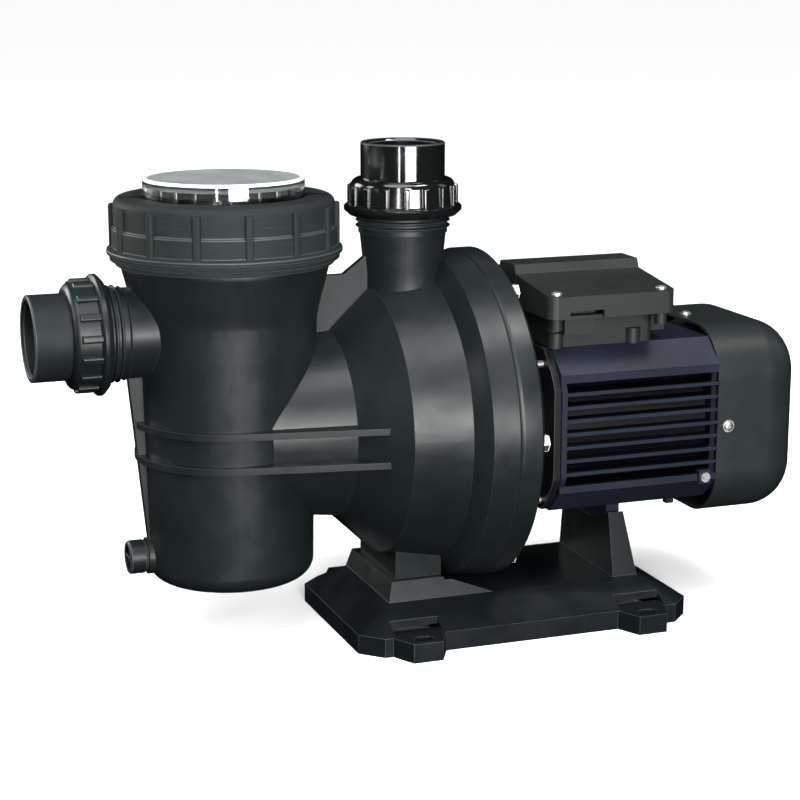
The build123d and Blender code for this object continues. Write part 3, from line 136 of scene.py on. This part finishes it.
def makeStudio():
    makeCamera()
    sun = makeLight("overheadSoftLight", "SUN", studio["sunTurn"], studio["sunRise"], studio["sunDistance"],
                    studio["sunPower"])
    sun.data.angle = radians(studio["sunSpread"])
    for name, (azimuth, elevation, distance, width, height, power) in softboxes.items():
        box = makeLight(name, "AREA", azimuth, elevation, distance, power)
        box.data.shape = "RECTANGLE"
        box.data.size, box.data.size_y = width, height
    makeBackdrop()
    makeFloor()


makeStudio()
print("studio ready")

# material building blocks


def newMaterial(name, colour, roughness, metallic=0.0):
    material = bpy.data.materials.new(name)
    material.use_nodes = True
    surface = material.node_tree.nodes["Principled BSDF"]
    surface.inputs["Base Color"].default_value = (*colour, 1.0)
    surface.inputs["Roughness"].default_value = roughness
    surface.inputs["Metallic"].default_value = metallic
    return material, surface


def toned(colour, share):
    return (*(channel * share for channel in colour), 1.0)


def noiseOn(material, scale, detail, stretch=(1.0, 1.0, 1.0), roughness=0.6):
    tree = material.node_tree
    place = tree.nodes.new("ShaderNodeTexCoord")
    mapping = tree.nodes.new("ShaderNodeMapping")
    mapping.inputs["Scale"].default_value = stretch
    noise = tree.nodes.new("ShaderNodeTexNoise")
    noise.inputs["Scale"].default_value = scale
    noise.inputs["Detail"].default_value = detail
    noise.inputs["Roughness"].default_value = roughness
    tree.links.new(place.outputs["Object"], mapping.inputs["Vector"])
    tree.links.new(mapping.outputs["Vector"], noise.inputs["Vector"])
    return noise.outputs["Fac"]


def tonesFrom(material, source, stops):
    tree = material.node_tree
    blend = tree.nodes.new("ShaderNodeValToRGB")
    tones = blend.color_ramp.elements
    tones[0].position, tones[0].color = stops[0]
    tones[1].position, tones[1].color = stops[-1]
    for position, colour in stops[1:-1]:
        tones.new(position).color = colour
    tree.links.new(source, blend.inputs["Fac"])
    return blend.outputs["Color"]


def roughnessFrom(material, surface, source, low, high):
    tree = material.node_tree
    remap = tree.nodes.new("ShaderNodeMapRange")
    remap.inputs["From Min"].default_value = 0.3  # noise seldom leaves 0.3 to 0.7
    remap.inputs["From Max"].default_value = 0.7
    remap.inputs["To Min"].default_value = low
    remap.inputs["To Max"].default_value = high
    tree.links.new(source, remap.inputs["Value"])
    tree.links.new(remap.outputs["Result"], surface.inputs["Roughness"])


def bumpFrom(material, surface, source, strength, depth):
    tree = material.node_tree
    bump = tree.nodes.new("ShaderNodeBump")
    bump.inputs["Strength"].default_value = strength
    bump.inputs["Distance"].default_value = depth
    tree.links.new(source, bump.inputs["Height"])
    tree.links.new(bump.outputs["Normal"], surface.inputs["Normal"])


def colourFrom(material, surface, source):
    material.node_tree.links.new(source, surface.inputs["Base Color"])


def worked(material, operation, first, second=None):
    step = material.node_tree.nodes.new("ShaderNodeMath")
    step.operation = operation
    material.node_tree.links.new(first, step.inputs[0])
    if isinstance(second, float):
        step.inputs[1].default_value = second
    elif second is not None:
        material.node_tree.links.new(second, step.inputs[1])
    return step.outputs["Value"]


# moulded plastic: broad mottling, smudged gloss and a fine grain

moulding = {
    "mottleScale": 14.0, "mottleDetail": 3.0, "mottle": 0.15,
    "smudgeScale": 45.0, "smudgeDetail": 5.0, "smoother": 0.06, "rougher": 0.08,
    "grainDetail": 2.0, "grainStrength": 0.35,
}


def mouldedPlastic(name, colour, roughness, grain=900.0, grainDepth=0.00006, specular=0.2):
    material, surface = newMaterial(name, colour, roughness)
    surface.inputs["Specular IOR Level"].default_value = specular
    broad = noiseOn(material, moulding["mottleScale"], moulding["mottleDetail"])
    colourFrom(material, surface, tonesFrom(material, broad, [
        (0.3, toned(colour, 1 - moulding["mottle"])), (0.7, toned(colour, 1 + moulding["mottle"]))]))
    smudge = noiseOn(material, moulding["smudgeScale"], moulding["smudgeDetail"])
    roughnessFrom(material, surface, smudge, roughness - moulding["smoother"],
                  roughness + moulding["rougher"])
    fine = noiseOn(material, grain, moulding["grainDetail"])
    bumpFrom(material, surface, fine, moulding["grainStrength"], grainDepth)
    return material


# scuffed plastic of the lid ring: streaks that run round it

brushing = {
    "scale": 60.0, "detail": 8.0, "stretch": (1.0, 1.0, 14.0), "breakUp": 0.75, "specular": 0.1,
    "dark": 0.72, "light": 1.5, "smoother": 0.05, "rougher": 0.12, "strength": 0.5, "depth": 0.00025,
}


def brushedPlastic(name, colour, roughness):
    material, surface = newMaterial(name, colour, roughness)
    surface.inputs["Specular IOR Level"].default_value = brushing["specular"]
    streaks = noiseOn(material, brushing["scale"], brushing["detail"], brushing["stretch"],
                      brushing["breakUp"])
    colourFrom(material, surface, tonesFrom(material, streaks, [
        (0.32, toned(colour, brushing["dark"])), (0.55, toned(colour, 1.0)),
        (0.78, toned(colour, brushing["light"]))]))
    roughnessFrom(material, surface, streaks, roughness - brushing["smoother"],
                  roughness + brushing["rougher"])
    bumpFrom(material, surface, streaks, brushing["strength"], brushing["depth"])
    return material


# painted castings: orange peel and uneven tone, with painted shade darkening the paint deep between the
# motor's fins

paintwork = {
    "specular": 0.12, "peelScale": 420.0, "peelDetail": 2.0, "peelStrength": 0.4, "peelDepth": 0.00008,
    "toneScale": 20.0, "toneDetail": 3.0, "dark": 0.8, "light": 1.25,
}
# the last entry is the share of the navy left in the painted shade between the fins
finGaps = {  # distances of the gaps' floor and the fins' tips from the motor's middle plane, and their height
    "floor": 0.0665, "tip": 0.0705, "aboveMiddle": 0.009, "halfHeight": 0.0435, "paintedShade": 0.06,
}


def paintedFinShade(material, painted, colour):
    tree = material.node_tree
    low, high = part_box("motor_frame")
    place = tree.nodes.new("ShaderNodeTexCoord")
    split = tree.nodes.new("ShaderNodeSeparateXYZ")
    tree.links.new(place.outputs["Object"], split.inputs["Vector"])
    reach = tree.nodes.new("ShaderNodeMapRange")
    reach.inputs["From Min"].default_value = finGaps["floor"]
    reach.inputs["From Max"].default_value = finGaps["tip"]
    tree.links.new(worked(material, "ABSOLUTE", split.outputs["Y"]), reach.inputs["Value"])
    level = worked(material, "SUBTRACT", split.outputs["Z"], (low[2] + high[2]) / 2 + finGaps["aboveMiddle"])
    beyond = worked(material, "GREATER_THAN", worked(material, "ABSOLUTE", level), finGaps["halfHeight"])
    # painted shade: deep between the fins, within their height, the navy is darkened to near black where
    # shade falls
    mix = tree.nodes.new("ShaderNodeMix")
    mix.data_type = "RGBA"
    mix.inputs["A"].default_value = toned(colour, finGaps["paintedShade"])
    tree.links.new(worked(material, "MAXIMUM", beyond, reach.outputs["Result"]), mix.inputs["Factor"])
    tree.links.new(painted, mix.inputs["B"])
    return mix.outputs["Result"]


def paintedCasting(name, colour, roughness, finned=False):
    material, surface = newMaterial(name, colour, roughness)
    surface.inputs["Specular IOR Level"].default_value = paintwork["specular"]
    peel = noiseOn(material, paintwork["peelScale"], paintwork["peelDetail"])
    bumpFrom(material, surface, peel, paintwork["peelStrength"], paintwork["peelDepth"])
    tone = noiseOn(material, paintwork["toneScale"], paintwork["toneDetail"])
    painted = tonesFrom(material, tone, [
        (0.3, toned(colour, paintwork["dark"])), (0.7, toned(colour, paintwork["light"]))])
    if finned:
        painted = paintedFinShade(material, painted, colour)
    colourFrom(material, surface, painted)
    return material


# plated or ground metal: blotched in tone and gloss

plating = {"scale": 260.0, "detail": 4.0, "dark": 0.78, "smoother": 0.06, "rougher": 0.1}


def platedSteel(name, colour, roughness):
    material, surface = newMaterial(name, colour, roughness, metallic=1.0)
    blotch = noiseOn(material, plating["scale"], plating["detail"])
    colourFrom(material, surface, tonesFrom(material, blotch, [
        (0.3, toned(colour, plating["dark"])), (0.6, toned(colour, 1.0))]))
    roughnessFrom(material, surface, blotch, roughness - plating["smoother"], roughness + plating["rougher"])
    return material


# clear plastic of the strainer lid: hazed unevenly by water and sun

haze = {"scale": 70.0, "detail": 4.0, "smoother": 0.6, "rougher": 1.5, "ior": 1.49}


def clearPlastic(name, colour, transmission, roughness):
    material, surface = newMaterial(name, colour, roughness)
    surface.inputs["Transmission Weight"].default_value = transmission
    surface.inputs["IOR"].default_value = haze["ior"]
    cloud = noiseOn(material, haze["scale"], haze["detail"])
    roughnessFrom(material, surface, cloud, roughness * haze["smoother"], roughness * haze["rougher"])
    return material


finishes = {
    "black_moulding": mouldedPlastic("satinBlackPlastic", (0.0045, 0.0068, 0.0068), 0.36),
    "tail_moulding": mouldedPlastic("satinTailPlastic", (0.006, 0.0085, 0.0085), 0.55, specular=0.12),
    "ring_moulding": brushedPlastic("scuffedRingPlastic", (0.010, 0.0135, 0.013), 0.62),
    "gloss_moulding": mouldedPlastic("glossBlackPlastic", (0.003, 0.0035, 0.0035), 0.12, grain=300.0,
                                     grainDepth=0.00001, specular=0.5),
    "box_moulding": mouldedPlastic("boxPlastic", (0.008, 0.0105, 0.010), 0.5),
    "fan_cover_moulding": mouldedPlastic("fanCoverPlastic", (0.008, 0.011, 0.0105), 0.42),
    "base_moulding": mouldedPlastic("basePlastic", (0.003, 0.0045, 0.005), 0.34),
    "navy_paint": paintedCasting("navyEnamel", (0.0065, 0.008, 0.0145), 0.42, finned=True),
    "black_paint": paintedCasting("blackEnamel", (0.004, 0.004, 0.005), 0.45),
    "zinc": platedSteel("zincPlate", (0.42, 0.43, 0.43), 0.42),
    "clear": clearPlastic("clearLidPlastic", (0.93, 0.97, 0.96), 1.0, 0.05),
    "seal_rubber": mouldedPlastic("sealRubber", (0.012, 0.012, 0.012), 0.7),
    "basket_moulding": mouldedPlastic("basketPlastic", (0.20, 0.215, 0.21), 0.5),
    "impeller_moulding": mouldedPlastic("impellerPlastic", (0.05, 0.05, 0.05), 0.5),
    "steel": platedSteel("groundSteel", (0.60, 0.61, 0.62), 0.28),
    "core_steel": platedSteel("laminatedSteel", (0.32, 0.32, 0.33), 0.45),
    "copper": platedSteel("enamelledCopper", (0.72, 0.32, 0.14), 0.35),
    "seal_ceramic": mouldedPlastic("groundCeramic", (0.80, 0.79, 0.74), 0.25),
    "seal_carbon": mouldedPlastic("sealCarbon", (0.02, 0.02, 0.02), 0.35),
    "light_moulding": mouldedPlastic("palePlastic", (0.62, 0.60, 0.54), 0.45),
}
edgeHighlightTones = {  # painted highlight: colour of the lighter line along a piece's sharp edges
    "black_moulding": (0.030, 0.038, 0.038), "gloss_moulding": (0.03, 0.035, 0.035),
    "ring_moulding": (0.026, 0.034, 0.033), "box_moulding": (0.022, 0.028, 0.027),
    "fan_cover_moulding": (0.018, 0.024, 0.023), "base_moulding": (0.030, 0.038, 0.039),
    "navy_paint": (0.085, 0.090, 0.105), "black_paint": (0.030, 0.031, 0.034), "zinc": (0.85, 0.86, 0.87),
}
# painted highlights: the bevel faces along sharp edges take these lighter materials
paintedEdgeHighlights = {slot: mouldedPlastic(slot + "PaintedEdgeHighlight", tone, 0.4) for slot, tone in edgeHighlightTones.items()}
print("materials ready")

# building blocks for the new pieces


def quarterRound(radius, height, size, steps):
    turns = [pi / 2 * step / steps for step in range(steps + 1)]
    return [(radius - size * (1 - cos(turn)), height - size * (1 - sin(turn))) for turn in turns]


def spun(bm, outline, origin, axis, across, steps, closed=True):
    points = [bm.verts.new(origin + across * radius + axis * height) for radius, height in outline]
    count = len(points) if closed else len(points) - 1
    edges = [bm.edges.new((points[i], points[(i + 1) % len(points)])) for i in range(count)]
    bmesh.ops.spin(bm, geom=points + edges, cent=origin, axis=axis, angle=2 * pi, steps=steps,
                   use_merge=True, use_duplicate=False)
    bmesh.ops.remove_doubles(bm, verts=bm.verts, dist=0.000001)
    bmesh.ops.recalc_face_normals(bm, faces=bm.faces)


def easeEdges(bm, edges, width, segments):
    return bmesh.ops.bevel(bm, geom=edges, offset=width, offset_type="OFFSET", segments=segments, profile=0.5,
                           affect="EDGES", clamp_overlap=True, material=-1)["faces"]


def easeCorners(bm, width, segments=2, sharp=32.0):
    corners = [edge for edge in bm.edges
               if len(edge.link_faces) == 2 and edge.calc_face_angle(0) > radians(sharp)]
    for face in easeEdges(bm, corners, width, segments):
        face.material_index = 1  # the painted edge highlight's slot


def ribMesh(depth, across, length, rounding, dimple=0.0):
    bm = bmesh.new()  # a rib that stands out along +X and runs up from the origin
    bmesh.ops.create_cube(bm, size=1.0)
    bmesh.ops.scale(bm, verts=bm.verts, vec=(depth, across, length))
    bmesh.ops.translate(bm, verts=bm.verts, vec=(0, 0, length / 2))
    outer = [edge for edge in bm.edges if all(vert.co.x > 0 for vert in edge.verts)
             and any(vert.co.z > length / 2 for vert in edge.verts)]
    easeEdges(bm, outer, rounding, 4)
    if dimple:
        top = max(bm.faces, key=lambda face: face.calc_center_median().z)
        bmesh.ops.inset_individual(bm, faces=[top], thickness=dimple, depth=-dimple)
    return meshFrom(bm, "ribShape")


def addRibs(bm, shape, origin, axis, across, radius, start, count, first):
    side = axis.cross(across)
    for rib in range(count):
        turn = radians(first) + 2 * pi * rib / count
        out = across * cos(turn) + side * sin(turn)
        place = origin + out * radius + axis * start
        copy = shape.copy()
        copy.transform(Matrix.Translation(place) @ Matrix((out, axis.cross(out), axis)).transposed().to_4x4())
        bm.from_mesh(copy)
        bpy.data.meshes.remove(copy)


def finishedPiece(bm, name, node, materials, smoothTo=40.0):
    mesh = meshFrom(bm, name)
    piece = inScene(bpy.data.objects.new(name, mesh))
    for material in materials:
        mesh.materials.append(material)
    mesh.shade_smooth()
    mesh.set_sharp_from_angle(angle=radians(smoothTo))
    even = piece.modifiers.new("evenShading", "WEIGHTED_NORMAL")
    even.keep_sharp = True
    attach(piece, bodyOfNode[node])
    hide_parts(node)


def standing(node):
    low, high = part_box(node)  # the middle of the node's lowest face, and its height
    return Vector(((low[0] + high[0]) / 2, (low[1] + high[1]) / 2, low[2])), high[2] - low[2]


# lid ring: two stepped panels between ribs, a bead and a lip below, a rounded shoulder

lidRing = {
    "bore": 0.0698, "opening": 0.0572, "roof": 0.0079, "spinSteps": 112, "easing": 0.0005,
    "skirt": (  # radius and height of the lip, the band, the bead and the lower panel
        (0.0760, 0.0), (0.0760, 0.0026), (0.0796, 0.0034), (0.0799, 0.0068), (0.0817, 0.0078),
        (0.0817, 0.0106), (0.0794, 0.0122), (0.0778, 0.0124), (0.0778, 0.0252), (0.0764, 0.0262)),
    "upperPanel": 0.0764, "belowShoulder": 0.0020, "shoulder": 0.0052,
    "ribCount": 14, "ribTurn": 9.7, "ribWidth": 0.0056, "ribReach": 0.0797, "ribDepth": 0.0060,
    "ribStart": 0.0100, "ribTop": 0.0052, "ribRounding": 0.0016, "ribDimple": 0.0009,
}
arrowMarks = {
    "turns": (172.0, -16.0, -60.0), "size": 0.0095, "back": 0.0045, "out": 0.0665, "sunk": 0.0004,
    "height": 0.0005,
}


def makeLidRing():
    ring = lidRing
    origin, tall = standing("lid_ring")
    shoulder = quarterRound(ring["upperPanel"], tall, ring["shoulder"], 6)
    ceiling = tall - ring["roof"]
    outline = [(ring["bore"], 0.0), *ring["skirt"],
               (ring["upperPanel"], tall - ring["shoulder"] - ring["belowShoulder"]), *shoulder,
               (ring["opening"], tall), (ring["opening"], ceiling), (ring["bore"], ceiling)]
    bm = bmesh.new()
    spun(bm, outline, origin, upward, rightward, ring["spinSteps"])
    easeCorners(bm, ring["easing"])
    rib = ribMesh(ring["ribDepth"], ring["ribWidth"], tall - ring["ribTop"] - ring["ribStart"],
                  ring["ribRounding"], ring["ribDimple"])
    addRibs(bm, rib, origin, upward, rightward, ring["ribReach"] - ring["ribDepth"] / 2, ring["ribStart"],
            ring["ribCount"], ring["ribTurn"])
    finishedPiece(bm, "lidRing", "lid_ring", [finishes["ring_moulding"], paintedEdgeHighlights["ring_moulding"]])


def makeArrowMarks():
    marks = arrowMarks
    origin, tall = standing("lid_ring")
    bm = bmesh.new()
    for turn in marks["turns"]:
        arrow = bmesh.ops.create_circle(bm, cap_ends=True, segments=3, radius=marks["size"])["verts"]
        bmesh.ops.translate(bm, verts=arrow, vec=-backward * marks["back"])
        bmesh.ops.rotate(bm, verts=arrow, matrix=Matrix.Rotation(radians(turn - 90), 3, "Z"))
        out = Vector((cos(radians(turn)), sin(radians(turn)), 0))
        place = origin + out * marks["out"] + upward * (tall - marks["sunk"])
        bmesh.ops.translate(bm, verts=arrow, vec=place)
    raised = bmesh.ops.extrude_face_region(bm, geom=bm.faces[:])["geom"]
    bmesh.ops.translate(bm, verts=[item for item in raised if isinstance(item, bmesh.types.BMVert)],
                        vec=upward * marks["height"])
    bmesh.ops.recalc_face_normals(bm, faces=bm.faces)
    arrows = inScene(bpy.data.objects.new("ringArrows", meshFrom(bm, "ringArrows")))
    arrows.data.materials.append(finishes["black_paint"])
    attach(arrows, bodyOfNode["lid_ring"])


# clear lid: hazy crown with a bright rolled rim, and a clear wall with ribs inside it

clearLid = {
    "crown": 0.0558, "wall": 0.0032, "flange": 0.0057, "flangeGap": 0.0001, "rim": 0.0020, "rimWidth": 0.0034,
    "dish": 0.0008, "corner": 0.0020, "crownDepth": 0.0030, "spinSteps": 112, "nearby": 0.0001,
    "ribCount": 22, "ribDepth": 0.0022, "ribWidth": 0.0016, "ribRounding": 0.0004, "ribSunk": 0.0008,
    "ribStart": 0.0010, "ribTurn": 4.0,
}


def makeClearLid():
    lid = clearLid
    origin, tall = standing("strainer_lid")
    low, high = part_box("strainer_lid")
    flange = (high[0] - low[0]) / 2 - lid["flangeGap"]
    inner, crown = lid["crown"] - lid["wall"], lid["crown"]
    under = tall - lid["wall"] - lid["dish"]
    outline = [(0.0, under), (inner - lid["corner"], under), (inner, tall - lid["wall"] - lid["crownDepth"]),
               (inner, 0.0), (flange, 0.0), (flange, lid["flange"]), (crown, lid["flange"]),
               *quarterRound(crown, tall, lid["rim"], 5),
               (crown - lid["rimWidth"], tall - lid["dish"]), (0.0, tall - lid["dish"])]
    bm = bmesh.new()
    spun(bm, outline, origin, upward, rightward, lid["spinSteps"], closed=False)
    bmesh.ops.dissolve_degenerate(bm, edges=bm.edges, dist=0.000001)
    for face in bm.faces:
        spot = face.calc_center_median() - origin
        onRim = spot.xy.length > crown - lid["rimWidth"] - 2 * lid["nearby"]
        if onRim and spot.z > tall - lid["rim"] - lid["nearby"]:
            face.material_index = 2
        elif spot.z > tall - lid["wall"] - lid["corner"]:
            face.material_index = 1
    rib = ribMesh(lid["ribDepth"], lid["ribWidth"], tall - lid["wall"] - lid["crownDepth"],
                  lid["ribRounding"])
    addRibs(bm, rib, origin, upward, rightward, inner - lid["ribSunk"], lid["ribStart"], lid["ribCount"],
            lid["ribTurn"])
    hazy = clearPlastic("hazyLidCrown", (0.19, 0.218, 0.214), 0.2, 0.5)
    rimLine = clearPlastic("polishedLidRim", (0.80, 0.84, 0.83), 0.1, 0.2)
    finishedPiece(bm, "clearLid", "strainer_lid", [finishes["clear"], hazy, rimLine])


# union nuts: a bevelled collar, rounded ribs and a rolled shoulder

unionNut = {
    "bore": 0.0340, "body": 0.0370, "shoulder": 0.0052, "mouth": 0.0303, "depth": 0.0260, "spinSteps": 96,
    "lip": 0.0065, "step": 0.0075,  # how far down from the mouth the lip and the step inside it end
    "collar": (  # radius and distance from the nut's own end
        (0.0380, 0.0), (0.0414, 0.0030), (0.0420, 0.0038), (0.0420, 0.0062), (0.0410, 0.0072),
        (0.0376, 0.0082)),
    "ribCount": 16, "ribTurn": 6.0, "ribWidth": 0.0052, "ribReach": 0.0395, "ribDepth": 0.0050,
    "ribStart": 0.0075, "ribTop": 0.0045, "ribRounding": 0.0015,
}


def makeUnionNut(node, axis, across, finish):
    nut = unionNut
    low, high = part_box(node)
    deep = nut["depth"]
    origin = (Vector(low) + Vector(high)) / 2 - axis * deep / 2
    outline = [(nut["bore"], 0.0), *nut["collar"], *quarterRound(nut["body"], deep, nut["shoulder"], 6),
               (nut["mouth"], deep), (nut["mouth"], deep - nut["lip"]), (nut["bore"], deep - nut["step"])]
    bm = bmesh.new()
    spun(bm, outline, origin, axis, across, nut["spinSteps"])
    rib = ribMesh(nut["ribDepth"], nut["ribWidth"], deep - nut["ribTop"] - nut["ribStart"],
                  nut["ribRounding"])
    addRibs(bm, rib, origin, axis, across, nut["ribReach"] - nut["ribDepth"] / 2, nut["ribStart"],
            nut["ribCount"], nut["ribTurn"])
    finishedPiece(bm, node + "Body", node, [finishes[finish]])


# carried-over pieces, with their edges eased and a painted highlight line along them

easedEdges = {
    "strainer_pot": 0.0006, "pump_casing": 0.0007, "discharge_port": 0.0005, "body_ribs": 0.0005,
    "rear_cover": 0.0006, "base_plate": 0.0006, "motor_frame": 0.0004, "fan_cover": 0.0006,
    "terminal_box_lid": 0.0006, "terminal_box_base": 0.0005, "front_end_shield": 0.0005,
    "suction_tail": 0.0004, "discharge_tail": 0.0004, "drain_plug": 0.0005, "cover_bolts": 0.0004,
}
ownFinish = {"discharge_tail": "gloss_moulding", "suction_tail": "tail_moulding"}
easing = {"weld": 0.00002, "flatWithin": 0.6, "smoothTo": 50.0}


def makeEased(node, width):
    slot = slotOfNode[node]
    main = finishes[ownFinish.get(node, slot)]
    bm = bmesh.new()
    bm.from_mesh(frame["nodes"][node].data)
    bmesh.ops.remove_doubles(bm, verts=bm.verts, dist=easing["weld"])
    bmesh.ops.dissolve_limit(bm, angle_limit=radians(easing["flatWithin"]), verts=bm.verts, edges=bm.edges)
    easeCorners(bm, width)
    finishedPiece(bm, node + "Eased", node, [main, paintedEdgeHighlights.get(slot, main)], easing["smoothTo"])


for nodeName, piece in frame["nodes"].items():
    piece.data.materials.clear()
    piece.data.materials.append(finishes[slotOfNode[nodeName]])
for nodeName, edgeWidth in easedEdges.items():
    makeEased(nodeName, edgeWidth)
print("carried-over pieces finished")
makeLidRing()
makeArrowMarks()
makeClearLid()
makeUnionNut("suction_nut", -rightward, backward, "black_moulding")
makeUnionNut("discharge_nut", upward, rightward, "gloss_moulding")
print("ring, lid and nuts made")
